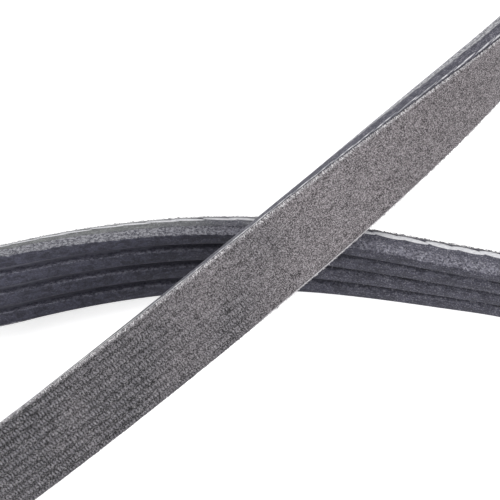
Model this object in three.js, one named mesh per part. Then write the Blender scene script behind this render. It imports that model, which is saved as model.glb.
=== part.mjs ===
// A four-rib serpentine belt for a car engine, lying loose in a figure of eight.
//
// The belt is one endless moulding. Its section is drawn once, with ribs on one side and a
// flat fabric back on the other, and is carried round a closed course. Where the belt crosses
// itself, both strands turn over by half a turn, so the section rolls through a full turn in
// one trip round the course. Both loops stand upright on a cut edge of the belt.
//
// Millimetres, +Z up. The origin is the middle of the belt's plan, on the floor.

import * as THREE from 'three';

// Section of the belt
const RIB_COUNT = 4;
const RIB_PITCH = 3.56;
const RIB_HEIGHT = 1.75;
const RIB_ANGLE = 40;
const RIB_TIP_FLAT = 2;
const TIP_EASE = 0.25;
const BACK_EASE = 0.2;
const THICKNESS = 4.7;

const BELT_WIDTH = RIB_COUNT * RIB_PITCH;
const BACK_LEVEL = -THICKNESS / 2;
const TIP_LEVEL = THICKNESS / 2;
const GROOVE_LEVEL = TIP_LEVEL - RIB_HEIGHT;

// Course of the belt in plan, in the order that the belt runs: place and heading in degrees
const OVER_STRAND_IN = { x: -41, y: -41.6, heading: 36.5 };
const OVER_STRAND_OUT = { x: 47, y: 39.5, heading: 49.7 };
const FAR_LOOP_RIGHT = { x: 68, y: 84, heading: 90 };
const FAR_LOOP_TOP = { x: -22, y: 150, heading: 180 };
const FAR_LOOP_LEFT = { x: -135, y: 63, heading: 270 };
const UNDER_STRAND_IN = { x: -40, y: -2.5, heading: 14.3 };
const UNDER_STRAND_CREST = { x: 0, y: 2.7, heading: -0.6 };
const UNDER_STRAND_OUT = { x: 40, y: -2.7, heading: -9.9 };
const NEAR_LOOP_RIGHT = { x: 115, y: -80, heading: 270 };
const NEAR_LOOP_BOTTOM = { x: 4, y: -177, heading: 180 };
const NEAR_LOOP_LEFT = { x: -81, y: -109, heading: 90 };

// Roll of the section along each strand: distance past the strand's middle, and roll in
// degrees. At 0 the ribs face left of the course, at 90 up, at 180 right and at 270 down.
const UNDER_STRAND_ROLL = [[-190, 0], [-150, 22], [-40, 141], [0, 159], [45, 175], [90, 180]];
const OVER_STRAND_ROLL = [
  [-200, 180], [-160, 202], [-50, 296], [0, 309], [35, 330], [58, 346], [95, 360],
];

// Rise of the over strand above the floor, where it passes over the under strand
const OVER_RISE = 14.9;
const OVER_RISE_CENTRE = 15;
const OVER_RISE_REACH = 150;

// Fineness of the solid
const STATION_COUNT = 150;
const GROOVE_STEPS = 2;

// Colour of the rubber
const RUBBER_COLOUR = 0x3e3e46;
const RUBBER_ROUGHNESS = 0.8;

// Outline of the section: x runs across the belt, y from the back to the rib tips
function makeSection() {
  const flankRun = RIB_HEIGHT * Math.tan(THREE.MathUtils.degToRad(RIB_ANGLE / 2));
  const halfTip = RIB_TIP_FLAT / 2;
  const halfFoot = halfTip + flankRun;
  const halfWidth = BELT_WIDTH / 2;
  const flank = new THREE.Vector2(flankRun, RIB_HEIGHT).setLength(TIP_EASE);

  const outline = new THREE.Path();
  outline.moveTo(-halfWidth, BACK_LEVEL + BACK_EASE);
  outline.lineTo(-halfWidth + BACK_EASE, BACK_LEVEL);
  outline.lineTo(halfWidth - BACK_EASE, BACK_LEVEL);
  outline.lineTo(halfWidth, BACK_LEVEL + BACK_EASE);
  outline.lineTo(halfWidth, GROOVE_LEVEL);

  for (let rib = 0; rib < RIB_COUNT; rib += 1) {
    const centre = halfWidth - (rib + 0.5) * RIB_PITCH;
    const isLast = rib === RIB_COUNT - 1;
    if (rib === 0) outline.lineTo(centre + halfFoot, GROOVE_LEVEL);
    outline.lineTo(centre + halfTip + flank.x, TIP_LEVEL - flank.y);
    outline.lineTo(centre + halfTip - TIP_EASE, TIP_LEVEL);
    outline.lineTo(centre - halfTip + TIP_EASE, TIP_LEVEL);
    outline.lineTo(centre - halfTip - flank.x, TIP_LEVEL - flank.y);
    outline.lineTo(centre - halfFoot, GROOVE_LEVEL);
    if (!isLast) addGrooveFloor(outline, centre - halfFoot, centre - RIB_PITCH + halfFoot);
  }
  outline.lineTo(-halfWidth, GROOVE_LEVEL);
  return outline.getPoints(GROOVE_STEPS);
}

// Rounded floor between two ribs
function addGrooveFloor(outline, fromX, toX) {
  const dip = (fromX - toX) / 4;
  outline.quadraticCurveTo((fromX + toX) / 2, GROOVE_LEVEL - dip, toX, GROOVE_LEVEL);
}

// Smooth curve between two places that leaves and arrives on their headings; a quarter of a
// circle comes out as a quarter of a circle
function joinPlaces(from, to) {
  const start = new THREE.Vector2(from.x, from.y);
  const end = new THREE.Vector2(to.x, to.y);
  const leave = THREE.MathUtils.degToRad(from.heading);
  const arrive = THREE.MathUtils.degToRad(to.heading);
  const turn = Math.atan2(Math.sin(arrive - leave), Math.cos(arrive - leave));
  const reach = (2 * start.distanceTo(end)) / (3 * (1 + Math.cos(turn / 2)));
  const startPull = new THREE.Vector2(Math.cos(leave), Math.sin(leave)).multiplyScalar(reach).add(start);
  const endPull = new THREE.Vector2(Math.cos(arrive), Math.sin(arrive)).multiplyScalar(-reach).add(end);
  return new THREE.CubicBezierCurve(start, startPull, endPull, end);
}

// Closed course in plan, with the distances at which the two strands cross
function makeCourse() {
  const places = [
    OVER_STRAND_IN, OVER_STRAND_OUT,
    FAR_LOOP_RIGHT, FAR_LOOP_TOP, FAR_LOOP_LEFT,
    UNDER_STRAND_IN, UNDER_STRAND_CREST, UNDER_STRAND_OUT,
    NEAR_LOOP_RIGHT, NEAR_LOOP_BOTTOM, NEAR_LOOP_LEFT,
  ];
  const path = new THREE.CurvePath();
  places.forEach((place, index) => {
    path.add(joinPlaces(place, places[(index + 1) % places.length]));
  });
  const ends = path.getCurveLengths();
  const length = path.getLength();
  return {
    path,
    length,
    overMiddle: ends[0] / 2,
    underMiddle: ends[places.indexOf(UNDER_STRAND_CREST) - 1],
  };
}

// Distance from a middle to a point on the closed course, between minus and plus half of it
function distancePast(middle, distance, length) {
  return THREE.MathUtils.euclideanModulo(distance - middle + length / 2, length) - length / 2;
}

// Value at a distance on a smooth curve that never overshoots its knots
function readKnots(knots, distance) {
  const last = knots.length - 1;
  if (distance <= knots[0][0]) return knots[0][1];
  if (distance >= knots[last][0]) return knots[last][1];
  const slopes = knots.slice(1).map((knot, i) => (knot[1] - knots[i][1]) / (knot[0] - knots[i][0]));
  const knotSlope = (i) => {
    if (i === 0 || i === last) return 0;
    return (2 * slopes[i - 1] * slopes[i]) / (slopes[i - 1] + slopes[i]);
  };
  const i = knots.findIndex((knot) => knot[0] > distance) - 1;
  const span = knots[i + 1][0] - knots[i][0];
  const t = (distance - knots[i][0]) / span;
  const rise = knots[i + 1][1] - knots[i][1];
  const eased = t * t * (3 - 2 * t);
  const leave = t * (1 - t) * (1 - t) * span * knotSlope(i);
  const arrive = t * t * (t - 1) * span * knotSlope(i + 1);
  return knots[i][1] + rise * eased + leave + arrive;
}

// Roll of the section at a distance along the course, in radians
function rollAt(course, distance) {
  const pastUnder = distancePast(course.underMiddle, distance, course.length);
  const pastOver = distancePast(course.overMiddle, distance, course.length);
  const isNearUnder = Math.abs(pastUnder) < Math.abs(pastOver);
  const roll = isNearUnder
    ? readKnots(UNDER_STRAND_ROLL, pastUnder)
    : readKnots(OVER_STRAND_ROLL, pastOver);
  return THREE.MathUtils.degToRad(roll);
}

// Rise of the over strand at a distance along the course
function riseAt(course, distance) {
  const past = distancePast(course.overMiddle, distance, course.length) - OVER_RISE_CENTRE;
  const t = Math.min(Math.abs(past) / OVER_RISE_REACH, 1);
  return (OVER_RISE * (1 + Math.cos(Math.PI * t))) / 2;
}

// One ring of the skin: the section set square to the course, rolled, and stood on the floor
function makeRing(section, course, distance) {
  const along = distance / course.length;
  const place = course.path.getPoint(along);
  const heading = course.path.getTangent(along);
  const left = new THREE.Vector3(-heading.y, heading.x, 0);
  const up = new THREE.Vector3(0, 0, 1);
  const roll = rollAt(course, distance);
  const toRibs = left.clone().multiplyScalar(Math.cos(roll)).addScaledVector(up, Math.sin(roll));
  const across = up.clone().multiplyScalar(Math.cos(roll)).addScaledVector(left, -Math.sin(roll));
  const centre = new THREE.Vector3(place.x, place.y, 0);
  const ring = section.map((point) => centre.clone()
    .addScaledVector(across, point.x)
    .addScaledVector(toRibs, point.y));
  const lowest = Math.min(...ring.map((point) => point.z));
  const lift = riseAt(course, distance) - lowest;
  ring.forEach((point) => point.setZ(point.z + lift));
  return ring;
}

// Closed skin from one ring to the next and from the last ring back to the first
function makeSweptBody() {
  const section = makeSection();
  const course = makeCourse();
  const positions = [];
  for (let station = 0; station < STATION_COUNT; station += 1) {
    const distance = (station / STATION_COUNT) * course.length;
    makeRing(section, course, distance).forEach((point) => positions.push(...point.toArray()));
  }

  const size = section.length;
  const faces = [];
  for (let station = 0; station < STATION_COUNT; station += 1) {
    const here = station * size;
    const next = ((station + 1) % STATION_COUNT) * size;
    for (let i = 0; i < size; i += 1) {
      const j = (i + 1) % size;
      faces.push(here + i, next + j, here + j);
      faces.push(here + i, next + i, next + j);
    }
  }

  const body = new THREE.BufferGeometry();
  body.setAttribute('position', new THREE.Float32BufferAttribute(positions, 3));
  body.setIndex(faces);
  body.computeVertexNormals();
  return body;
}

// Move the body so that the middle of its plan, on the floor, is the origin
function centreOnFloor(body) {
  body.computeBoundingBox();
  const middle = body.boundingBox.getCenter(new THREE.Vector3());
  body.translate(-middle.x, -middle.y, -body.boundingBox.min.z);
}

function makeRubberMaterial() {
  return new THREE.MeshStandardMaterial({
    color: RUBBER_COLOUR,
    roughness: RUBBER_ROUGHNESS,
    metalness: 0,
  });
}

function makeBelt() {
  const body = makeSweptBody();
  centreOnFloor(body);
  const mesh = new THREE.Mesh(body, makeRubberMaterial());
  mesh.name = 'serpentine_belt';
  return mesh;
}

const group = new THREE.Group();
group.add(makeBelt());

export default group;
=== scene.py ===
"""Looks for a four-rib serpentine belt that lies in a figure of eight.

The belt's section is carried along a closed course by array sums. What is bonded in the belt
is a piece of its own here: the ribbed rubber, the plies of tensile cord that show in the cut
edges, the knitted back, and the cut threads along its edges. Lengths are millimetres, as belt
makers use, and become metres where a mesh is made.

In the section, x runs across the belt and y from the back to the ribs. Seen along the course
with the ribs up, plus x is the right edge, called side 1, and minus x the left edge, side -1.
"""

import math

import bpy
import numpy as np
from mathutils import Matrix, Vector


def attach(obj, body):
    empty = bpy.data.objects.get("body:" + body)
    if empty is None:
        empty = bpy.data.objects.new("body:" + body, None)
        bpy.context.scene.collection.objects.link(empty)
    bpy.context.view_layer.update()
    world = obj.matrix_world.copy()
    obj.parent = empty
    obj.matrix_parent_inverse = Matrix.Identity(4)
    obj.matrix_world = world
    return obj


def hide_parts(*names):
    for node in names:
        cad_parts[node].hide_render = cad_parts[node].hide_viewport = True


MM = 0.001

# Section of the belt
RIB_COUNT = 4
RIB_PITCH = 3.56
RIB_HEIGHT = 1.75
RIB_ANGLE = 40.0
RIB_TIP_FLAT = 2.0
TIP_RADIUS = 0.28
THICKNESS = 4.7

BELT_WIDTH = RIB_COUNT * RIB_PITCH
HALF_WIDTH = BELT_WIDTH / 2
BACK_LEVEL = -THICKNESS / 2
TIP_LEVEL = THICKNESS / 2
GROOVE_LEVEL = TIP_LEVEL - RIB_HEIGHT
TIP_EDGE = HALF_WIDTH - RIB_PITCH / 2 + RIB_TIP_FLAT / 2

# Layers: cord and thread stand proud of the smooth surfaces by up to the skin's depth
SKIN = 0.07
FABRIC_THICKNESS = 0.42
FABRIC_EASE = 0.16
FABRIC_LEVEL = BACK_LEVEL + SKIN
RUBBER_LEVEL = BACK_LEVEL + FABRIC_THICKNESS
EDGE = HALF_WIDTH - SKIN

# Cut edge of the back: how uneven it is, its whole waves round the course, and a seed a side
HEM_UNEVENNESS = 0.03
HEM_WAVES = (173, 239, 311, 433)
HEM_SEEDS = {1: 5, -1: 6}

# Plies of the cord, along each edge: the cut bares them widely on the left edge, and only
# grazes them on the right edge. Spreads are the lower and upper bound of a random share
CORD_DEPTH = 0.9
CORD_WIDTHS = {1: 0.72, -1: 1.04}
PLY_PITCH = 4.9
PLY_LENGTH = 6.2
PLY_SLANT = 0.22
PLY_BLUNTNESS = 0.6
PLY_ENDS = (0.03, 0.97)
PLY_WEAR = 0.23
PLY_SPREADS = {"start": (-0.08, 0.08), "width": (0.85, 1.05), "lift": (-0.04, 0.04)}
PLY_SEED = 11

# Cut threads of the back, along each edge. The taper is the thickness at each ring
THREAD_PITCH = 0.36
THREAD_RADIUS = 0.1
THREAD_SIDES = {
    1: {"overhang": 0.1, "reach": 0.48, "lean": 0.35},
    -1: {"overhang": 0.12, "reach": 0.18, "lean": 0.7},
}
THREAD_RINGS = (0.0, 0.5, 1.0)
THREAD_TAPER = (1.0, 0.9, 0.5)
THREAD_SPREADS = {
    "start": (-0.4, 0.4), "reach": (0.65, 1.35), "overhang": (-0.6, 1.0),
    "lean": (-1.0, 1.0), "bend": (0.0, 0.1), "radius": (0.6, 1.0),
}
THREAD_SEED = 23

# Course of the belt in plan, in the order that the belt runs: x, y and heading in degrees
COURSE = {
    "over strand in": (-41.0, -41.6, 36.5),
    "over strand out": (47.0, 39.5, 49.7),
    "far loop right": (68.0, 84.0, 90.0),
    "far loop top": (-22.0, 150.0, 180.0),
    "far loop left": (-135.0, 63.0, 270.0),
    "under strand in": (-40.0, -2.5, 14.3),
    "under strand crest": (0.0, 2.7, -0.6),
    "under strand out": (40.0, -2.7, -9.9),
    "near loop right": (115.0, -80.0, 270.0),
    "near loop bottom": (4.0, -177.0, 180.0),
    "near loop left": (-81.0, -109.0, 90.0),
}

# Roll of the section along each strand: distance past the strand's middle, and degrees
UNDER_STRAND_ROLL = ((-190, 0), (-150, 22), (-40, 141), (0, 159), (45, 175), (90, 180))
OVER_STRAND_ROLL = (
    (-200, 180), (-160, 202), (-50, 296), (0, 309), (35, 330), (58, 346), (95, 360),
)
OVER_RISE = 14.9
OVER_RISE_CENTRE = 15.0
OVER_RISE_REACH = 150.0

# Fineness of the surfaces. Splits are the points added between two corners of the section
STATIONS = 1152
STEPS_PER_BEND = 400
EDGE_SPLITS = 3
FLANK_SPLITS = 2
TIP_SPLITS = 1
TIP_EASE_STEPS = 2
GROOVE_POINTS = 4
BACK_STEPS = 12
BACK_EASE_STEPS = 3
PLY_RINGS = 11
PLY_CORNERS = 8
THREAD_CORNERS = 4

# Wear: waves round the course, the first one's start before the over strand's middle, how far
# a wave and the noise take the wear from its middle, and the noise's scale
WEAR_WAVES = 6
WEAR_START = -55.0
WEAR_SWING = 0.4
WEAR_NOISE = 0.9
WEAR_NOISE_SCALE = 0.08

# Stitches of the knitted back: row and stitch spacing, how far a stitch leans within its row,
# how far noise bends the rows, and how many times further the stitches, and the noise's scale
KNIT_ROW = 1.35
KNIT_STITCH = 0.58
KNIT_LEAN = 0.5
KNIT_BEND = 0.32
KNIT_BEND_ALONG = 2.0
KNIT_BEND_SCALE = 1.1

# Flecks: size, stretch along the belt, and the noise between which the mask rises to 1
FLECKS = {
    "grain": (0.36, 1.5, 0.41, 0.61),
    "fine grain": (0.19, 1.0, 0.42, 0.58),
    "sparks": (0.26, 1.2, 0.53, 0.62),
    "clumps": (0.9, 2.0, 0.4, 0.6),
    "ripple": (1.4, 1.6, 0.35, 0.65),
    "fibres": (0.12, 6.0, 0.3, 0.7),
    "smears": (0.7, 2.5, 0.42, 0.6),
    "specks": (0.18, 1.0, 0.44, 0.62),
    "blotches": (1.3, 1.3, 0.36, 0.64),
    "lint": (0.2, 1.6, 0.56, 0.66),
    "fraying": (0.8, 1.0, 0.4, 0.58),
}

# Pairs of colours, as eight-bit display values: where a mask is 0, and where it is 1
SHADES = {
    "fresh flank": ((56, 56, 67), (166, 166, 172)),
    "worn left flank": ((44, 43, 55), (132, 131, 143)),
    # pale where worn, partly a painted light on the right flank
    "worn right flank, with painted light": ((92, 92, 101), (216, 216, 220)),
    "fresh tip": ((26, 26, 38), (72, 72, 88)),
    "worn tip": ((27, 26, 39), (74, 73, 87)),
    "rib side": ((70, 70, 84), (136, 136, 150)),
    # painted light and shade in the grooves: lighter than the tips where fresh, against their own
    # shadow, dark where worn
    "painted groove light and shade, by wear": ((104, 104, 116), (17, 17, 25)),
    "fresh cut rubber": ((84, 86, 88), (126, 128, 127)),
    "worn cut rubber": ((52, 52, 64), (96, 95, 107)),
    "bare cord": ((196, 196, 202), (238, 238, 240)),
    "fresh smeared cord": ((200, 200, 204), (250, 250, 251)),
    "worn smeared cord": ((140, 140, 147), (236, 235, 239)),
    "fresh knit": ((0, 0, 3), (129, 127, 133)),
    "worn knit": ((20, 14, 18), (197, 189, 193)),
    "cut knit, by dirt": ((200, 200, 203), (54, 53, 60)),
    "thread": ((148, 146, 150), (238, 236, 238)),
}

# Single colours, as eight-bit display values
TONES = {
    "flank spark": (190, 189, 196),
    "rib spark": (158, 157, 165),
    "cut rubber spark": (176, 175, 182),
    # painted highlight along the rib corners below the tips
    "painted corner highlight": (146, 146, 158),
    # painted shade, laid on half-worn ribs, that stands for the over strand's shadow at the
    # crossing
    "painted shadow of the over strand": (22, 22, 31),
    "lint": (196, 192, 195),
    "right hem": (206, 203, 206),
    "left hem": (52, 51, 57),
    "left hem's line": (216, 213, 216),
    "dark thread": (78, 77, 84),
}

# Limits between which a mask goes smoothly from 0 to 1
LIMITS = {
    # place across
    "right half": (-1.0, 1.0),
    "right hem": (EDGE - 0.9, EDGE),
    "left hem": (0.6 - EDGE, -EDGE),
    "left hem's line": (0.3 - EDGE, 0.1 - EDGE),
    "outer flank": (TIP_EDGE - 0.1, TIP_EDGE + 0.05),
    "cut rubber": (EDGE - 0.1, EDGE - 0.04),
    # height in the section
    "flank's foot": (GROOVE_LEVEL - 0.3, GROOVE_LEVEL + 0.1),
    "cut knit": (FABRIC_LEVEL + 0.05, FABRIC_LEVEL + 0.16),
    # depth below the rib tips
    "rib side": (0.03, 0.25),
    "corner's top": (0.05, 0.3),
    "corner's bottom": (0.9, 0.5),
    # painted light and shade in the grooves
    "groove": (1.15, 1.6),
    # wear
    "early wear": (0.05, 0.6),
    "hem wear": (0.2, 0.45),
    "thread wear": (0.5, 0.8),
    # other masks
    # where the mottle breaks the painted highlight on the rib corners
    "painted_highlight": (0.35, 0.75),
    "stitch": (0.2, 0.7),
    "away from the over strand": (0.5, -0.5),
}

# Strengths that change with wear: strength on a fresh belt, and what full wear adds. That of
# the knit's grains changes with half wear, which peaks at a quarter
STRENGTHS = {
    "rib side": (0.34, -0.24),
    # painted highlight on the rib corners, fading with wear
    "painted_highlight": (0.45, -0.3),
    "rib sparks": (0.08, 0.5),
    "rows": (0.58, -1.1),
    "grains": (0.6, 0.3),
}

# Rubber: share of the fine grain in the ground speckle and of the clumps in the mottling, how
# far the clumps gather the sparks, how far noise bends the limits of the painted groove shade
# and of the flanks, how far wear widens the painted groove shade, and how strong the sparks
# are
FINE_SHARE = 0.35
CLUMP_SHARE = 0.4
SPARK_CROWDING = 0.6
PAINTED_GROOVE_BEND = 1.3
FLANK_BEND = 0.8
PAINTED_GROOVE_WEAR = 0.5
FLANK_SPARKS = 0.45
CUT_SPARKS = 0.6

# Knit: least strength of the rows, light that half wear and blotches add and that a fresh belt
# takes away, and how strong the lint and the dark left hem are
LEAST_ROWS = 0.06
HALF_WORN_LIGHT = 0.32
BLOTCH_LIGHT = 0.1
FRESH_DARK = 0.1
LINT = 0.45
LEFT_HEM = 0.5

# Relief: strength of all bumps, the depth of each in millimetres, how high the finer noise
# stands in it, and the roughness of each surface
BUMP_STRENGTH = 0.5
RUBBER_BUMP = 0.14
CORD_BUMP = 0.05
KNIT_BUMP = 0.1
GRAIN_RELIEF = 0.7
SPECK_RELIEF = 0.8
RUBBER_ROUGHNESS = 0.6
GRAIN_ROUGHNESS = 0.3
CORD_ROUGHNESS = 0.7
YARN_ROUGHNESS = 0.85

# Stage
FLOOR_SIDE = 4000.0
FLOOR_LEVEL = -0.1
FLOOR_COLOUR = (0.92, 0.92, 0.92, 1.0)
FLOOR_GLOW = 0.62
WORLD_LIGHT = 0.65
WHITE = (1.0, 1.0, 1.0, 1.0)

# Lamps: where they stand, the length of their sides, and their power in watts
LAMPS = {
    "key": ((420, -450, 400), 400, 2.2),
    "fill": ((-450, 250, 600), 600, 2.0),
}

# Camera: what it looks at (x and y from the under strand's crest), from how far and how high
LOOK_AT = (0.0, 0.0, 14.0)
CAMERA_DISTANCE = 500.0
CAMERA_ELEVATION = 60.0
CAMERA_CLIP = (0.01, 10.0)
PIXELS_PER_MM = 5.65
IMAGE_PIXELS = 500
SENSOR_WIDTH = 36.0


# Course

def bend(start, end, t):
    """Cubic from place to place: pull points stand on the two headings, at two thirds of the
    chord over one plus the cosine of half the turn, which makes equal arcs of circles."""
    a = np.array(start[:2])
    b = np.array(end[:2])
    leave, arrive = np.radians(start[2]), np.radians(end[2])
    turn = np.arctan2(np.sin(arrive - leave), np.cos(arrive - leave))
    pull = 2 * np.linalg.norm(b - a) / (3 * (1 + np.cos(turn / 2)))
    p = a + pull * np.array([np.cos(leave), np.sin(leave)])
    q = b - pull * np.array([np.cos(arrive), np.sin(arrive)])
    t = t[:, None]
    place = (1 - t) ** 3 * a + 3 * (1 - t) ** 2 * t * p + 3 * (1 - t) * t ** 2 * q + t ** 3 * b
    slope = 3 * (1 - t) ** 2 * (p - a) + 6 * (1 - t) * t * (q - p) + 3 * t ** 2 * (b - q)
    return place, slope


def make_course():
    """Bends joined end to end, read at equal distances. Distance starts at the far loop's top,
    so that the join of the surfaces is well away from the crossing."""
    names = list(COURSE)
    first = names.index("far loop top")
    names = names[first:] + names[:first]
    t = np.linspace(0, 1, STEPS_PER_BEND, endpoint=False)
    places, slopes = [], []
    for here, there in zip(names, names[1:] + names[:1]):
        place, slope = bend(COURSE[here], COURSE[there], t)
        places.append(place)
        slopes.append(slope)
    places, slopes = np.vstack(places), np.vstack(slopes)
    steps = np.linalg.norm(np.roll(places, -1, axis=0) - places, axis=1)
    marks = np.concatenate([[0], np.cumsum(steps)])
    length = marks[-1]
    distance = np.arange(STATIONS) * length / STATIONS
    closed = np.vstack([places, places[:1]])
    closed_slopes = np.vstack([slopes, slopes[:1]])
    place = np.stack([np.interp(distance, marks, closed[:, k]) for k in (0, 1)], axis=1)
    heading = np.stack([np.interp(distance, marks, closed_slopes[:, k]) for k in (0, 1)], axis=1)
    heading /= np.linalg.norm(heading, axis=1)[:, None]

    def mark_of(name):
        return marks[names.index(name) * STEPS_PER_BEND]

    over_middle = (mark_of("over strand in") + mark_of("over strand out")) / 2
    return {
        "length": length,
        "place": place,
        "heading": heading,
        "over_middle": over_middle,
        "past_over": past(over_middle, distance, length),
        "past_under": past(mark_of("under strand crest"), distance, length),
    }


def past(middle, distance, length):
    """Distance past a middle on a closed course, between minus and plus half of its length."""
    return (distance - middle + length / 2) % length - length / 2


def read_knots(knots, distance):
    """Cubic between knots whose slopes are harmonic means, so that it never overshoots."""
    x, y = np.array(knots, float).T
    slope = np.diff(y) / np.diff(x)
    at_knot = np.zeros(len(x))
    at_knot[1:-1] = 2 * slope[:-1] * slope[1:] / (slope[:-1] + slope[1:])
    d = np.clip(distance, x[0], x[-1])
    i = np.clip(np.searchsorted(x, d, side="right") - 1, 0, len(x) - 2)
    span = x[i + 1] - x[i]
    t = (d - x[i]) / span
    eased = t * t * (3 - 2 * t)
    leave = t * (1 - t) ** 2 * span * at_knot[i]
    arrive = t * t * (t - 1) * span * at_knot[i + 1]
    return y[i] + (y[i + 1] - y[i]) * eased + leave + arrive


def make_stations(course):
    """Centre, direction across and direction to the ribs at each station. The roll turns both
    directions about the course, and the lowest corner of the section stands on the floor or,
    over the crossing, a raised cosine above it."""
    near_under = np.abs(course["past_under"]) < np.abs(course["past_over"])
    roll = np.where(
        near_under,
        read_knots(UNDER_STRAND_ROLL, course["past_under"]),
        read_knots(OVER_STRAND_ROLL, course["past_over"]),
    )
    roll = np.radians(roll)[:, None]
    left = np.stack([-course["heading"][:, 1], course["heading"][:, 0], 0 * roll[:, 0]], axis=1)
    up = np.array([[0.0, 0.0, 1.0]])
    to_ribs = left * np.cos(roll) + up * np.sin(roll)
    across = up * np.cos(roll) - left * np.sin(roll)
    corners = np.array([
        (-HALF_WIDTH, BACK_LEVEL), (HALF_WIDTH, BACK_LEVEL),
        (-HALF_WIDTH, GROOVE_LEVEL), (HALF_WIDTH, GROOVE_LEVEL),
        (-TIP_EDGE, TIP_LEVEL), (TIP_EDGE, TIP_LEVEL),
    ])
    heights = across[:, 2:] * corners[:, 0] + to_ribs[:, 2:] * corners[:, 1]
    away = np.clip(np.abs(course["past_over"] - OVER_RISE_CENTRE) / OVER_RISE_REACH, 0, 1)
    rise = OVER_RISE * (1 + np.cos(np.pi * away)) / 2
    height = rise - heights.min(axis=1)
    centre = np.column_stack([course["place"], height])
    return {"centre": centre, "across": across, "to_ribs": to_ribs, "course": course}


def centre_plan(stations):
    """Moves the stations so that the middle of the belt's plan is the origin, as the frame has
    it. Returns the move."""
    corners = np.array([
        (x, y) for x in (-HALF_WIDTH, HALF_WIDTH) for y in (BACK_LEVEL, GROOVE_LEVEL)
    ])
    skin = carry(every_station(corners), stations)
    low, high = skin.min(axis=(0, 1)), skin.max(axis=(0, 1))
    move = np.array([-(low[0] + high[0]) / 2, -(low[1] + high[1]) / 2, 0.0])
    stations["centre"] = stations["centre"] + move
    return move


def carry(profile, stations):
    """Point = centre + x times across + y times to the ribs, for each station's own profile."""
    return (
        stations["centre"][:, None, :]
        + profile[..., :1] * stations["across"][:, None, :]
        + profile[..., 1:] * stations["to_ribs"][:, None, :]
    )


# Sections

def rounded(corner, before, after, radius, steps):
    """Quarter-like ease at a corner: a quadratic from radius before it to radius after it."""
    corner, before, after = (np.array(p, float) for p in (corner, before, after))
    start = corner + (before - corner) / np.linalg.norm(before - corner) * radius
    end = corner + (after - corner) / np.linalg.norm(after - corner) * radius
    t = np.linspace(0, 1, steps + 1)[:, None]
    return (1 - t) ** 2 * start + 2 * (1 - t) * t * corner + t ** 2 * end


def split_line(start, end, count):
    """Points strictly between two ends, evenly spaced."""
    t = np.linspace(0, 1, count + 2)[1:-1, None]
    return np.array(start) * (1 - t) + np.array(end) * t


def rubber_section():
    """Outline of the ribbed rubber, from its flat side round the right edge, over the ribs from
    right to left and down the left edge."""
    flank_run = RIB_HEIGHT * math.tan(math.radians(RIB_ANGLE / 2))
    half_tip = RIB_TIP_FLAT / 2
    half_foot = half_tip + flank_run
    parts = [
        np.array([(-EDGE, RUBBER_LEVEL), (EDGE, RUBBER_LEVEL)]),
        split_line((EDGE, RUBBER_LEVEL), (EDGE, GROOVE_LEVEL), EDGE_SPLITS),
        np.array([(EDGE, GROOVE_LEVEL)]),
    ]
    for rib in range(RIB_COUNT):
        middle = HALF_WIDTH - (rib + 0.5) * RIB_PITCH
        foot_r, tip_r = (middle + half_foot, GROOVE_LEVEL), (middle + half_tip, TIP_LEVEL)
        tip_l, foot_l = (middle - half_tip, TIP_LEVEL), (middle - half_foot, GROOVE_LEVEL)
        if rib == 0:
            parts.append(np.array([foot_r]))
        parts.append(split_line(foot_r, tip_r, FLANK_SPLITS))
        parts.append(rounded(tip_r, foot_r, tip_l, TIP_RADIUS, TIP_EASE_STEPS))
        parts.append(split_line(tip_r, tip_l, TIP_SPLITS))
        parts.append(rounded(tip_l, tip_r, foot_l, TIP_RADIUS, TIP_EASE_STEPS))
        parts.append(split_line(tip_l, foot_l, FLANK_SPLITS))
        if rib < RIB_COUNT - 1:
            next_foot = middle - RIB_PITCH + half_foot
            gap = middle - half_foot - next_foot
            angle = np.linspace(0, np.pi, GROOVE_POINTS)
            floor_x = (foot_l[0] + next_foot) / 2 + gap / 2 * np.cos(angle)
            parts.append(np.column_stack([floor_x, GROOVE_LEVEL - gap / 4 * np.sin(angle)]))
        else:
            parts.append(np.array([foot_l]))
    parts.append(np.array([(-EDGE, GROOVE_LEVEL)]))
    parts.append(split_line((-EDGE, GROOVE_LEVEL), (-EDGE, RUBBER_LEVEL), EDGE_SPLITS))
    return np.vstack(parts)


def fabric_section():
    """Outline of the knitted back: a flat band whose two outer corners are eased."""
    corner = (EDGE, FABRIC_LEVEL)
    right = rounded(
        corner, (0, FABRIC_LEVEL), (EDGE, RUBBER_LEVEL), FABRIC_EASE, BACK_EASE_STEPS,
    )
    left = right[::-1] * (-1, 1)
    inner = np.array([(EDGE, RUBBER_LEVEL), (-EDGE, RUBBER_LEVEL)])
    face = split_line(left[-1], right[0], BACK_STEPS - 1)
    return np.vstack([face, right, inner, left])


# Surfaces

def make_piece(name, points, faces, loops_uv, smooth=True):
    """Mesh from points in millimetres, faces, and for each UV map one pair for each face corner."""
    mesh = bpy.data.meshes.new(name)
    mesh.from_pydata((points * MM).tolist(), [], faces)
    for map_name, pairs in loops_uv.items():
        layer = mesh.uv_layers.new(name=map_name)
        layer.data.foreach_set("uv", np.ascontiguousarray(pairs, dtype=np.float32).ravel())
    mesh.polygons.foreach_set("use_smooth", np.full(len(mesh.polygons), smooth))
    mesh.update()
    piece = bpy.data.objects.new(name, mesh)
    bpy.context.scene.collection.objects.link(piece)
    return piece


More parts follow.
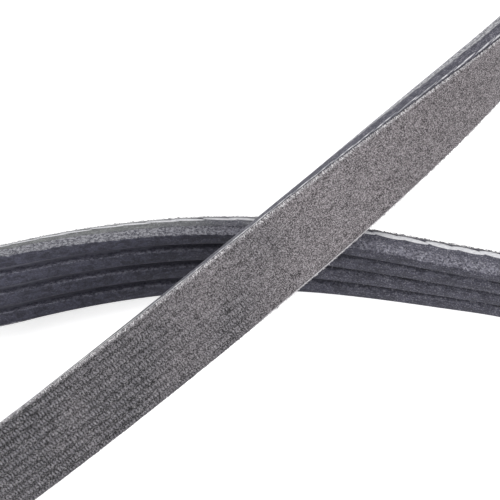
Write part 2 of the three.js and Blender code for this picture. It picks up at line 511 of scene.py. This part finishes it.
def sweep(name, profile, stations):
    """Closed skin over stations and outline points: each four-sided face joins two neighbours
    along the course and two round the outline, and the last station joins the first. The map
    "course" holds distance and place across, and "section" place across and height."""
    count, size = profile.shape[:2]
    skin = carry(profile, stations)
    i, j = np.meshgrid(np.arange(count), np.arange(size), indexing="ij")
    i, j = i.ravel(), j.ravel()
    ni, nj = (i + 1) % count, (j + 1) % size
    faces = np.column_stack([i * size + j, ni * size + j, ni * size + nj, i * size + nj])
    step = stations["course"]["length"] / count
    near, far = i * step, (i + 1) * step
    corner_i = np.column_stack([i, ni, ni, i])
    corner_j = np.column_stack([j, j, nj, nj])
    along = np.column_stack([near, far, far, near])
    x = profile[corner_i, corner_j, 0]
    y = profile[corner_i, corner_j, 1]
    maps = {
        "course": np.stack([along, x], axis=2).reshape(-1, 2),
        "section": np.stack([x, y], axis=2).reshape(-1, 2),
    }
    return make_piece(name, skin.reshape(-1, 3), faces.tolist(), maps)


def on_belt(stations, along, x, y):
    """Points at any distance along the belt: the two nearest stations' places in proportion."""
    course = stations["course"]
    turns = (along / course["length"] * STATIONS) % STATIONS
    here = np.floor(turns).astype(int) % STATIONS
    share = (turns - np.floor(turns))[:, None]

    def read(name):
        values = stations[name]
        return values[here] * (1 - share) + values[(here + 1) % STATIONS] * share

    return read("centre") + x[:, None] * read("across") + y[:, None] * read("to_ribs")


def rods(name, rings, stations):
    """Closed rods, all alike: rings[n, m, k] is the place along, place across and height of
    point k on ring m of rod n. Rings join in order, and the first and last are closed flat.
    What would reach below the floor is pressed up to it."""
    count, ring_count, size, _ = rings.shape
    places = rings.reshape(-1, 3)
    points = on_belt(stations, places[:, 0], places[:, 1], places[:, 2])
    points[:, 2] = np.maximum(points[:, 2], 0)
    index = np.arange(count * ring_count * size).reshape(count, ring_count, size)
    turned = np.roll(index, -1, axis=2)
    sides = np.stack(
        [index[:, :-1], turned[:, :-1], turned[:, 1:], index[:, 1:]], axis=-1,
    ).reshape(-1, 4)
    ends = np.concatenate([index[:, 0, ::-1], index[:, -1]])
    corners = places[np.concatenate([sides.ravel(), ends.ravel()])]
    maps = {"course": corners[:, :2], "section": corners[:, 1:]}
    return make_piece(name, points, sides.tolist() + ends.tolist(), maps)


def every_station(section):
    """The same outline at every station."""
    return np.broadcast_to(section, (STATIONS,) + section.shape).copy()


def uneven_line(waves, seed):
    """Closed random line: a sum of whole waves with seeded phases, about 1 high."""
    rng = np.random.default_rng(seed)
    turn = np.arange(STATIONS)[:, None] / STATIONS * 2 * np.pi
    phases = rng.uniform(0, 2 * np.pi, len(waves))
    return np.sin(turn * np.array(waves) + phases).sum(axis=1) / math.sqrt(len(waves))


def draw(rng, bounds, count):
    """One random number between two bounds for each rod, shaped to spread over its rings."""
    return rng.uniform(*bounds, count)[:, None, None]


def ring_turns(corners, offset=0.0):
    """Angles of a ring's corners, shaped to spread over rods and rings."""
    return (np.arange(corners) + offset)[None, None, :] / corners * 2 * np.pi


def make_rubber(stations):
    """Ribbed rubber, with the same section all along."""
    return sweep("ribbed_rubber", every_station(rubber_section()), stations)


def make_back(stations):
    """Knitted back. Its cut edge is uneven by a few hundredths of a millimetre."""
    section = fabric_section()
    profile = every_station(section)
    for side, seed in HEM_SEEDS.items():
        edge = np.isclose(side * section[:, 0], EDGE)
        line = uneven_line(HEM_WAVES, seed)
        profile[:, edge, 0] += side * HEM_UNEVENNESS * line[:, None]
    return sweep("fabric_back", profile, stations)


def make_cord(stations):
    """Plies of the tensile cord, cut where they reach the edge: spindles of sine outline, each
    slanting from the back towards the ribs and overlapping the next. Where the belt is worn
    they show narrower on the right edge and wider on the left one."""
    rng = np.random.default_rng(PLY_SEED)
    course = stations["course"]
    count = round(course["length"] / PLY_PITCH)
    number = np.arange(count)[:, None, None]
    t = np.linspace(*PLY_ENDS, PLY_RINGS)[None, :, None]
    turn = ring_turns(PLY_CORNERS)
    sides = []
    for side, width in CORD_WIDTHS.items():
        start = (number + draw(rng, PLY_SPREADS["start"], count)) * PLY_PITCH
        waves = (start - course["over_middle"] - WEAR_START) / course["length"] * WEAR_WAVES
        full = np.sin(np.pi * t) ** PLY_BLUNTNESS * draw(rng, PLY_SPREADS["width"], count)
        full = full * (1 - PLY_WEAR + side * PLY_WEAR * np.cos(2 * np.pi * waves))
        lift = PLY_SLANT * (2 * t - 1) + draw(rng, PLY_SPREADS["lift"], count)
        along = start + PLY_LENGTH * t + 0 * turn
        height = BACK_LEVEL + CORD_DEPTH + lift + full * width / 2 * np.cos(turn)
        across = side * EDGE + full * SKIN * np.sin(turn)
        sides.append(np.stack([along, across, height], axis=-1))
    return rods("tensile_cord", np.concatenate(sides), stations)


def make_threads(stations):
    """Cut threads of the knitted back: short tapered stubs that stand out of both of its
    corners. Each leans its own way along the belt and bends up by the square of its length."""
    rng = np.random.default_rng(THREAD_SEED)
    count = round(stations["course"]["length"] / THREAD_PITCH)
    number = np.arange(count)[:, None, None]
    t = np.array(THREAD_RINGS)[None, :, None]
    thickness = np.array(THREAD_TAPER)[None, :, None]
    turn = ring_turns(THREAD_CORNERS, 0.5)
    sides = []
    for side, stub in THREAD_SIDES.items():
        start = (number + draw(rng, THREAD_SPREADS["start"], count)) * THREAD_PITCH
        reach = stub["reach"] * draw(rng, THREAD_SPREADS["reach"], count)
        tip = stub["overhang"] * draw(rng, THREAD_SPREADS["overhang"], count)
        lean = stub["lean"] * draw(rng, THREAD_SPREADS["lean"], count)
        bend_up = draw(rng, THREAD_SPREADS["bend"], count)
        radius = THREAD_RADIUS * draw(rng, THREAD_SPREADS["radius"], count) * thickness
        along = start + lean * t + radius * np.cos(side * turn)
        across = side * (HALF_WIDTH + tip - reach * (1 - t)) + 0 * turn
        height = BACK_LEVEL + THREAD_RADIUS / 2 + bend_up * t ** 2 + radius * np.sin(side * turn)
        sides.append(np.stack([along, across, height], axis=-1))
    return rods("cut_threads", np.concatenate(sides), stations)


# Materials

class Nodes:
    """Small helper that adds nodes to a tree and links them by socket name."""

    def __init__(self, tree):
        self.tree = tree

    def add(self, kind, inputs=None, **settings):
        """New node with values or links on its inputs, and with settings."""
        node = self.tree.nodes.new(kind)
        for name, value in settings.items():
            setattr(node, name, value)
        for name, value in (inputs or {}).items():
            self.put(node.inputs[name], value)
        return node

    def put(self, socket, value):
        """Links an output to the socket, or sets the socket to a plain value."""
        if isinstance(value, bpy.types.NodeSocket):
            self.tree.links.new(value, socket)
        else:
            socket.default_value = value

    def math(self, operation, a, b=0.0, c=0.0):
        """Result of a sum on up to three numbers."""
        return self.add("ShaderNodeMath", {0: a, 1: b, 2: c}, operation=operation).outputs[0]

    def times(self, a, b):
        """Product of two numbers."""
        return self.math("MULTIPLY", a, b)

    def line(self, value, slope, start):
        """Slope times the value, plus the start."""
        return self.math("MULTIPLY_ADD", value, slope, start)

    def wave(self, turns):
        """Cosine of a number of full turns."""
        return self.math("COSINE", self.times(turns, 2 * math.pi))

    def noise(self, place, scale, roughness=0.5):
        """Noise from 0 to 1, in three octaves past the first."""
        node = self.add(
            "ShaderNodeTexNoise",
            {"Vector": place, "Scale": scale, "Detail": 3.0, "Roughness": roughness},
        )
        return node.outputs[0]

    def mix(self, factor, a, b):
        """Colour a where the factor is 0, and b where it is 1."""
        node = self.add("ShaderNodeMix", data_type="RGBA")
        self.put(node.inputs[0], factor)
        self.put(node.inputs[6], a)
        self.put(node.inputs[7], b)
        return node.outputs[2]

    def smooth_step(self, value, low, high):
        """From 0 at the low value to 1 at the high one, which may also be the smaller."""
        node = self.add(
            "ShaderNodeMapRange",
            {"Value": value, "From Min": low, "From Max": high},
            interpolation_type="SMOOTHSTEP",
        )
        return node.outputs[0]


def new_group(name, inputs, outputs):
    """Node group with number or vector inputs and outputs. Returns its nodes and two ends."""
    group = bpy.data.node_groups.new(name, "ShaderNodeTree")
    for title, kind, start in inputs:
        socket = group.interface.new_socket(name=title, in_out="INPUT", socket_type=kind)
        if start is not None:
            socket.default_value = start
    for title, kind in outputs:
        group.interface.new_socket(name=title, in_out="OUTPUT", socket_type=kind)
    nodes = Nodes(group)
    return nodes, nodes.add("NodeGroupInput"), nodes.add("NodeGroupOutput")


def place_on_belt_group():
    """Distance along, place across and height in the section, as one vector in millimetres."""
    nodes, _, end = new_group(
        "place_on_belt", [],
        [("Place", "NodeSocketVector"), ("Along", "NodeSocketFloat"),
         ("Across", "NodeSocketFloat"), ("Height", "NodeSocketFloat")],
    )
    course, section = (
        nodes.add("ShaderNodeSeparateXYZ", {
            0: nodes.add("ShaderNodeUVMap", uv_map=name).outputs[0],
        }).outputs
        for name in ("course", "section")
    )
    place = nodes.add("ShaderNodeCombineXYZ", {0: course[0], 1: course[1], 2: section[1]})
    nodes.put(end.inputs["Place"], place.outputs[0])
    nodes.put(end.inputs["Along"], course[0])
    nodes.put(end.inputs["Across"], course[1])
    nodes.put(end.inputs["Height"], section[1])


def fleck_group():
    """Bright and dark flecks: noise stretched along the belt, with a soft threshold."""
    nodes, start, end = new_group(
        "flecks",
        [("Place", "NodeSocketVector", None), ("Size", "NodeSocketFloat", 0.4),
         ("Stretch", "NodeSocketFloat", 1.0), ("Low", "NodeSocketFloat", 0.4),
         ("High", "NodeSocketFloat", 0.6)],
        [("Mask", "NodeSocketFloat"), ("Noise", "NodeSocketFloat")],
    )
    per_mm = nodes.math("DIVIDE", 1.0, start.outputs["Size"])
    along = nodes.math("DIVIDE", per_mm, start.outputs["Stretch"])
    scale = nodes.add("ShaderNodeCombineXYZ", {0: along, 1: per_mm, 2: per_mm})
    place = nodes.add(
        "ShaderNodeVectorMath", {0: start.outputs["Place"], 1: scale.outputs[0]},
        operation="MULTIPLY",
    )
    noise = nodes.noise(place.outputs[0], 1.0, roughness=0.6)
    mask = nodes.smooth_step(noise, start.outputs["Low"], start.outputs["High"])
    nodes.put(end.inputs["Mask"], mask)
    nodes.put(end.inputs["Noise"], noise)


def knit_group():
    """Rows of stitches: a cosine across the belt for the rows, and along each row a cosine for
    its stitches, which lean within the row. Noise bends both."""
    nodes, start, end = new_group(
        "knit",
        [("Place", "NodeSocketVector", None), ("Bend", "NodeSocketFloat", KNIT_BEND)],
        [("Rows", "NodeSocketFloat"), ("Stitches", "NodeSocketFloat")],
    )
    parts = nodes.add("ShaderNodeSeparateXYZ", {0: start.outputs["Place"]})
    noise = nodes.noise(start.outputs["Place"], KNIT_BEND_SCALE)
    shift = nodes.times(nodes.math("SUBTRACT", noise, 0.5), start.outputs["Bend"])
    across = nodes.math("ADD", parts.outputs[1], shift)
    along = nodes.line(shift, KNIT_BEND_ALONG, parts.outputs[0])
    row_turns = nodes.math("DIVIDE", across, KNIT_ROW)
    row_number = nodes.math("FLOOR", nodes.math("ADD", row_turns, 0.5))
    off_row = nodes.math("SUBTRACT", row_turns, row_number)
    stitch_turns = nodes.line(off_row, KNIT_LEAN, nodes.math("DIVIDE", along, KNIT_STITCH))
    nodes.put(end.inputs["Rows"], nodes.line(nodes.wave(row_turns), 0.5, 0.5))
    nodes.put(end.inputs["Stitches"], nodes.line(nodes.wave(stitch_turns), 0.5, 0.5))


def wear_group(course):
    """How worn the belt is, from 0 to 1: waves along the course, with noise. The first wave
    starts unworn on the way up to the crossing."""
    nodes, _, end = new_group("wear", [], [("Wear", "NodeSocketFloat")])
    place = belt_place(nodes)
    past_start = nodes.math("SUBTRACT", place["Along"], course["over_middle"] + WEAR_START)
    wave = nodes.wave(nodes.math("DIVIDE", past_start, course["length"] / WEAR_WAVES))
    noise = nodes.noise(place["Place"], WEAR_NOISE_SCALE)
    even = nodes.line(wave, -WEAR_SWING, 0.5)
    uneven = nodes.line(nodes.math("SUBTRACT", noise, 0.5), WEAR_NOISE, even)
    nodes.put(end.inputs["Wear"], nodes.smooth_step(uneven, 0.0, 1.0))


def group_outputs(nodes, name):
    """Outputs of a node group placed in a tree."""
    return nodes.add("ShaderNodeGroup", node_tree=bpy.data.node_groups[name]).outputs


def belt_place(nodes):
    """Place, Along, Across and Height on the belt."""
    return group_outputs(nodes, "place_on_belt")


def wear_of(nodes):
    """How worn the belt is at this place."""
    return group_outputs(nodes, "wear")["Wear"]


def new_material(name):
    """Material with one Principled shader. Returns it, its nodes and the shader."""
    material = bpy.data.materials.new(name)
    material.use_nodes = True
    material.node_tree.nodes.clear()
    nodes = Nodes(material.node_tree)
    shader = nodes.add("ShaderNodeBsdfPrincipled")
    out = nodes.add("ShaderNodeOutputMaterial")
    nodes.put(out.inputs["Surface"], shader.outputs[0])
    return material, nodes, shader


def colour(values):
    """Colour from eight-bit display values, as linear light by the standard display curve."""
    values = np.array(values) / 255
    linear = np.where(values <= 0.04045, values / 12.92, ((values + 0.055) / 1.055) ** 2.4)
    return (*linear.tolist(), 1.0)


def shade(nodes, mask, name):
    """Mix of a pair of colours by a mask."""
    return nodes.mix(mask, *(colour(values) for values in SHADES[name]))


def tinted(nodes, mask, base, name):
    """A base with a single colour laid over it by a mask."""
    return nodes.mix(mask, base, colour(TONES[name]))


def between(nodes, value, name):
    """Mask from 0 to 1 between two limits."""
    return nodes.smooth_step(value, *LIMITS[name])


def strength(nodes, wear, name):
    """How strong a look is at this wear."""
    fresh, added = STRENGTHS[name]
    return nodes.line(wear, added, fresh)


def flecks(nodes, place, name):
    """Mask and Noise of the flecks of this name."""
    group = nodes.add("ShaderNodeGroup", node_tree=bpy.data.node_groups["flecks"])
    nodes.put(group.inputs["Place"], place["Place"])
    for title, value in zip(("Size", "Stretch", "Low", "High"), FLECKS[name]):
        nodes.put(group.inputs[title], value)
    return group.outputs


def half_worn(nodes, wear):
    """Wear times what is left of it: 0 on fresh and worn parts, and a quarter halfway."""
    return nodes.times(wear, nodes.math("SUBTRACT", 1.0, wear))


def bent(nodes, value, noise, reach):
    """A value that noise moves by up to half of the reach either way."""
    return nodes.line(noise, reach, nodes.math("SUBTRACT", value, reach / 2))


def add_bump(nodes, shader, height, depth):
    """Bump of a depth in millimetres on the shader's normal."""
    bump = nodes.add(
        "ShaderNodeBump", {"Strength": BUMP_STRENGTH, "Distance": depth * MM, "Height": height},
    )
    nodes.put(shader.inputs["Normal"], bump.outputs[0])


def rubber_marks(nodes, place):
    """Masks and noises for the rubber: the speckle of ground rubber, a coarser mottling, sparks
    that crowd in the clumps, and the noises that roughen it and bend the limits of its looks."""
    names = ("grain", "fine grain", "sparks", "clumps", "ripple")
    grain, fine, sparks, clumps, ripple = (flecks(nodes, place, name) for name in names)
    ground = nodes.line(fine["Mask"], FINE_SHARE, nodes.times(grain["Mask"], 1 - FINE_SHARE))
    mottle = nodes.line(clumps["Mask"], CLUMP_SHARE, nodes.times(ground, 1 - CLUMP_SHARE))
    crowding = nodes.line(clumps["Mask"], SPARK_CROWDING, 1 - SPARK_CROWDING)
    return {
        "ground": ground,
        "mottle": mottle,
        "sparks": nodes.times(sparks["Mask"], crowding),
        "grain": grain["Noise"],
        "clumps": clumps["Noise"],
        "ripple": ripple["Noise"],
    }


def flank_colour(nodes, place, wear, marks):
    """Outer flanks, ground to a speckle. Wear pales the right one, and this pale is partly painted
    light on that side. It darkens the left one early on, and leaves sparks there."""
    fresh = shade(nodes, marks["ground"], "fresh flank")
    worn_left = shade(nodes, marks["ground"], "worn left flank")
    worn_left = tinted(
        nodes, nodes.times(marks["sparks"], FLANK_SPARKS), worn_left, "flank spark",
    )
    left = nodes.mix(between(nodes, wear, "early wear"), fresh, worn_left)
    # Right flank: paler with wear, partly a painted light that stands for light falling on that
    # side
    right = nodes.mix(wear, fresh, shade(nodes, marks["ground"], "worn right flank, with painted light"))
    return nodes.mix(between(nodes, place["Across"], "right half"), left, right)


def rib_colour(nodes, place, wear, marks):
    """Ribs with mottled tips, paler sides and a painted highlight along the corners below the
    tips, and grooves whose limit is bent by noise. The grooves hold painted light and shade:
    lighter than the tips where fresh, against the grooves' own shadow, and dark where worn.
    Sparks come with wear, and half-worn ribs are darkest, a painted shade that stands for the
    over strand's shadow at the crossing."""
    depth = nodes.math("SUBTRACT", TIP_LEVEL, place["Height"])
    fresh_tip = shade(nodes, marks["mottle"], "fresh tip")
    worn_tip = shade(nodes, marks["mottle"], "worn tip")
    base = nodes.mix(wear, fresh_tip, worn_tip)
    on_side = nodes.times(between(nodes, depth, "rib side"), strength(nodes, wear, "rib side"))
    base = nodes.mix(on_side, base, shade(nodes, marks["ground"], "rib side"))

    # Painted light and shade in the grooves: lighter than the tips where fresh, against the
    # grooves' own shadow, and a painted dark groove where worn that reaches further up the flanks
    # with wear
    uneven = bent(nodes, depth, marks["ripple"], PAINTED_GROOVE_BEND)
    painted_groove_mask = between(nodes, nodes.line(wear, PAINTED_GROOVE_WEAR, uneven), "groove")
    base = nodes.mix(painted_groove_mask, base, shade(nodes, wear, "painted groove light and shade, by wear"))

    # Painted highlight: a pale, broken line along each rib's corners just below the tip
    below_tip = between(nodes, depth, "corner's top")
    corner = nodes.times(below_tip, between(nodes, depth, "corner's bottom"))
    painted_highlight = nodes.times(corner, strength(nodes, wear, "painted_highlight"))
    painted_highlight = nodes.times(painted_highlight, between(nodes, marks["mottle"], "painted_highlight"))
    base = tinted(nodes, painted_highlight, base, "painted corner highlight")
    sparks = nodes.times(marks["sparks"], strength(nodes, wear, "rib sparks"))
    base = tinted(nodes, sparks, base, "rib spark")
    # Painted shade: half wear darkens the ribs, standing for the over strand's shadow at the
    # crossing
    return tinted(nodes, half_worn(nodes, wear), base, "painted shadow of the over strand")


def cut_rubber_colour(nodes, wear, marks):
    """Cut edges: smoother than the flanks, darkening early with wear, with sparks."""
    fresh = shade(nodes, marks["mottle"], "fresh cut rubber")
    worn = shade(nodes, marks["mottle"], "worn cut rubber")
    base = nodes.mix(between(nodes, wear, "early wear"), fresh, worn)
    return tinted(nodes, nodes.times(marks["sparks"], CUT_SPARKS), base, "cut rubber spark")


def rubber_material():
    """Black rubber: ribs and grooves, outer flanks, and cut edges that turn into flank above
    the flank's foot. Noise bends the limits of the flanks."""
    material, nodes, shader = new_material("rubber")
    place = belt_place(nodes)
    wear = wear_of(nodes)
    marks = rubber_marks(nodes, place)
    ribs = rib_colour(nodes, place, wear, marks)
    flank = flank_colour(nodes, place, wear, marks)
    cut = cut_rubber_colour(nodes, wear, marks)

    off_middle = nodes.math("ABSOLUTE", place["Across"])
    uneven_off_middle = bent(nodes, off_middle, marks["clumps"], FLANK_BEND)
    uneven_height = bent(nodes, place["Height"], marks["clumps"], FLANK_BEND)
    upper = nodes.mix(between(nodes, uneven_off_middle, "outer flank"), ribs, flank)
    side = nodes.mix(between(nodes, uneven_height, "flank's foot"), cut, flank)
    base = nodes.mix(between(nodes, off_middle, "cut rubber"), upper, side)
    nodes.put(shader.inputs["Base Color"], base)
    roughness = nodes.line(marks["grain"], GRAIN_ROUGHNESS, RUBBER_ROUGHNESS)
    nodes.put(shader.inputs["Roughness"], roughness)
    relief = nodes.line(marks["grain"], GRAIN_RELIEF, marks["clumps"])
    add_bump(nodes, shader, relief, RUBBER_BUMP)
    return material


def cord_material():
    """Pale polyester cord with fine fibres along it. On the right edge rubber smears it, and
    more so where the belt is worn."""
    material, nodes, shader = new_material("cord")
    place = belt_place(nodes)
    fibres = flecks(nodes, place, "fibres")
    smears = flecks(nodes, place, "smears")
    bare = shade(nodes, fibres["Mask"], "bare cord")
    fresh = shade(nodes, smears["Mask"], "fresh smeared cord")
    worn = shade(nodes, smears["Mask"], "worn smeared cord")
    smeared = nodes.mix(wear_of(nodes), fresh, worn)
    base = nodes.mix(between(nodes, place["Across"], "right half"), bare, smeared)
    nodes.put(shader.inputs["Base Color"], base)
    shader.inputs["Roughness"].default_value = CORD_ROUGHNESS
    add_bump(nodes, shader, fibres["Noise"], CORD_BUMP)
    return material


def knit_colour(nodes, place, wear, crown, specks):
    """Face of the knitted back: grains, with rows of bright stitches that fade with wear, paler
    blotches, and lint. The right hem is frayed pale. The left one is dark, with a pale line
    along the very edge where it is worn."""
    blotches = flecks(nodes, place, "blotches")
    lint = flecks(nodes, place, "lint")
    rows = nodes.math("MAXIMUM", strength(nodes, wear, "rows"), LEAST_ROWS)
    partly = half_worn(nodes, wear)
    grains = nodes.times(specks, strength(nodes, partly, "grains"))
    light = nodes.line(between(nodes, crown, "stitch"), rows, grains)
    light = nodes.line(partly, HALF_WORN_LIGHT, light)
    light = nodes.line(blotches["Mask"], BLOTCH_LIGHT, light)
    fresh = shade(nodes, nodes.math("SUBTRACT", light, FRESH_DARK), "fresh knit")
    base = nodes.mix(wear, fresh, shade(nodes, light, "worn knit"))
    base = tinted(nodes, nodes.times(lint["Mask"], LINT), base, "lint")

    right_hem = between(nodes, place["Across"], "right hem")
    left_hem = between(nodes, place["Across"], "left hem")
    left_line = between(nodes, place["Across"], "left hem's line")
    left_line = nodes.times(left_line, between(nodes, wear, "hem wear"))
    base = tinted(nodes, nodes.times(right_hem, specks), base, "right hem")
    base = tinted(nodes, nodes.times(left_hem, LEFT_HEM), base, "left hem")
    return tinted(nodes, left_line, base, "left hem's line")


def fabric_material():
    """Knitted back, darker where it is fresh. Its cut edge is pale on the left side, darkens
    there with wear, and is dark all along the right side."""
    material, nodes, shader = new_material("fabric")
    place = belt_place(nodes)
    wear = wear_of(nodes)
    knit = nodes.add("ShaderNodeGroup", node_tree=bpy.data.node_groups["knit"])
    nodes.put(knit.inputs["Place"], place["Place"])
    crown = nodes.times(knit.outputs["Rows"], knit.outputs["Stitches"])
    specks = flecks(nodes, place, "specks")
    face = knit_colour(nodes, place, wear, crown, specks["Mask"])
    dirt = nodes.math("MAXIMUM", wear, between(nodes, place["Across"], "right half"))
    cut = shade(nodes, dirt, "cut knit, by dirt")
    base = nodes.mix(between(nodes, place["Height"], "cut knit"), face, cut)
    nodes.put(shader.inputs["Base Color"], base)
    shader.inputs["Roughness"].default_value = YARN_ROUGHNESS
    add_bump(nodes, shader, nodes.line(specks["Noise"], SPECK_RELIEF, crown), KNIT_BUMP)
    return material


def thread_material(course):
    """Cut ends of the back's thread, pale where they are frayed. On the left edge, where the
    belt is worn, they are dark on the half of the course away from the over strand."""
    material, nodes, shader = new_material("thread")
    place = belt_place(nodes)
    pale = shade(nodes, flecks(nodes, place, "fraying")["Mask"], "thread")
    past_over = nodes.math("SUBTRACT", place["Along"], course["over_middle"])
    nearness = nodes.wave(nodes.math("DIVIDE", past_over, course["length"]))
    away = between(nodes, nearness, "away from the over strand")
    dark = nodes.times(away, between(nodes, wear_of(nodes), "thread wear"))
    left = tinted(nodes, dark, pale, "dark thread")
    base = nodes.mix(between(nodes, place["Across"], "right half"), left, pale)
    nodes.put(shader.inputs["Base Color"], base)
    shader.inputs["Roughness"].default_value = YARN_ROUGHNESS
    return material


# Stage

def seen_directly(nodes):
    """1 for rays that the eye follows, straight, in a mirror or through glass, and 0 for light."""
    path = nodes.add("ShaderNodeLightPath")
    mirrored = nodes.math("ADD", path.outputs["Is Camera Ray"], path.outputs["Is Glossy Ray"])
    both = nodes.math("ADD", mirrored, path.outputs["Is Transmission Ray"])
    return nodes.math("MINIMUM", both, 1.0)


def make_floor():
    """Flat white floor. Where it is seen it gets a little light of its own, so that it reads as
    white paper and still takes the belt's shadow."""
    half = FLOOR_SIDE / 2
    points = np.array([
        (-half, -half, FLOOR_LEVEL), (half, -half, FLOOR_LEVEL),
        (half, half, FLOOR_LEVEL), (-half, half, FLOOR_LEVEL),
    ])
    floor = make_piece("floor", points, [[0, 1, 2, 3]], {}, smooth=False)
    material, nodes, shader = new_material("floor_white")
    shader.inputs["Base Color"].default_value = FLOOR_COLOUR
    shader.inputs["Roughness"].default_value = 1.0
    shader.inputs["Specular IOR Level"].default_value = 0.0
    shader.inputs["Emission Color"].default_value = WHITE
    nodes.put(shader.inputs["Emission Strength"], nodes.times(seen_directly(nodes), FLOOR_GLOW))
    floor.data.materials.append(material)


def point_at(thing, direction):
    """Turns a lamp or camera so that it looks along a direction."""
    thing.rotation_mode = "QUATERNION"
    thing.rotation_quaternion = Vector(direction.tolist()).to_track_quat("-Z", "Y")


def make_light(name, place, side, watts):
    """Square soft lamp that faces the crossing."""
    data = bpy.data.lights.new(name, "AREA")
    data.size = side * MM
    data.energy = watts
    lamp = bpy.data.objects.new(name, data)
    bpy.context.scene.collection.objects.link(lamp)
    lamp.location = np.array(place) * MM
    point_at(lamp, -np.array(place))


def make_world():
    """Even surroundings that light at a plain level and are seen at full white."""
    world = bpy.data.worlds.new("surroundings")
    bpy.context.scene.world = world
    world.use_nodes = True
    nodes = Nodes(world.node_tree)
    background = world.node_tree.nodes["Background"]
    background.inputs["Color"].default_value = WHITE
    level = nodes.line(seen_directly(nodes), 1 - WORLD_LIGHT, WORLD_LIGHT)
    nodes.put(background.inputs["Strength"], level)


def make_camera(move):
    """Camera on the line that rises from what it looks at, towards the near side."""
    data = bpy.data.cameras.new("camera")
    data.sensor_width = SENSOR_WIDTH
    data.lens = PIXELS_PER_MM * CAMERA_DISTANCE * SENSOR_WIDTH / IMAGE_PIXELS
    camera = bpy.data.objects.new("camera", data)
    bpy.context.scene.collection.objects.link(camera)
    rise = math.radians(CAMERA_ELEVATION)
    back = np.array([0.0, -math.cos(rise), math.sin(rise)])
    aim = np.array(LOOK_AT) + move
    camera.location = (aim + CAMERA_DISTANCE * back) * MM
    point_at(camera, -back)
    data.clip_start, data.clip_end = CAMERA_CLIP
    bpy.context.scene.camera = camera


# Scene

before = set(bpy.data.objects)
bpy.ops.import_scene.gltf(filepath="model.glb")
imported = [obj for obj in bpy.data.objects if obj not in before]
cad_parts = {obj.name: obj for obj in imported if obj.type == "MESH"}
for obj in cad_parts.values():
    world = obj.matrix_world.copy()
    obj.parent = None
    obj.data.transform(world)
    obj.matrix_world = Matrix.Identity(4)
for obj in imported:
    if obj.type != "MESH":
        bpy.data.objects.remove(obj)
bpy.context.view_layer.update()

stations = make_stations(make_course())
move = centre_plan(stations)

place_on_belt_group()
fleck_group()
knit_group()
wear_group(stations["course"])

for piece, material in (
    (make_rubber(stations), rubber_material()),
    (make_cord(stations), cord_material()),
    (make_back(stations), fabric_material()),
    (make_threads(stations), thread_material(stations["course"])),
):
    piece.data.materials.append(material)
    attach(piece, "root")
    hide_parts("serpentine_belt")

make_floor()
make_world()
make_camera(move)
for name, (place, side, watts) in LAMPS.items():
    make_light(name, place, side, watts)

bpy.context.scene.view_settings.view_transform = "Standard"
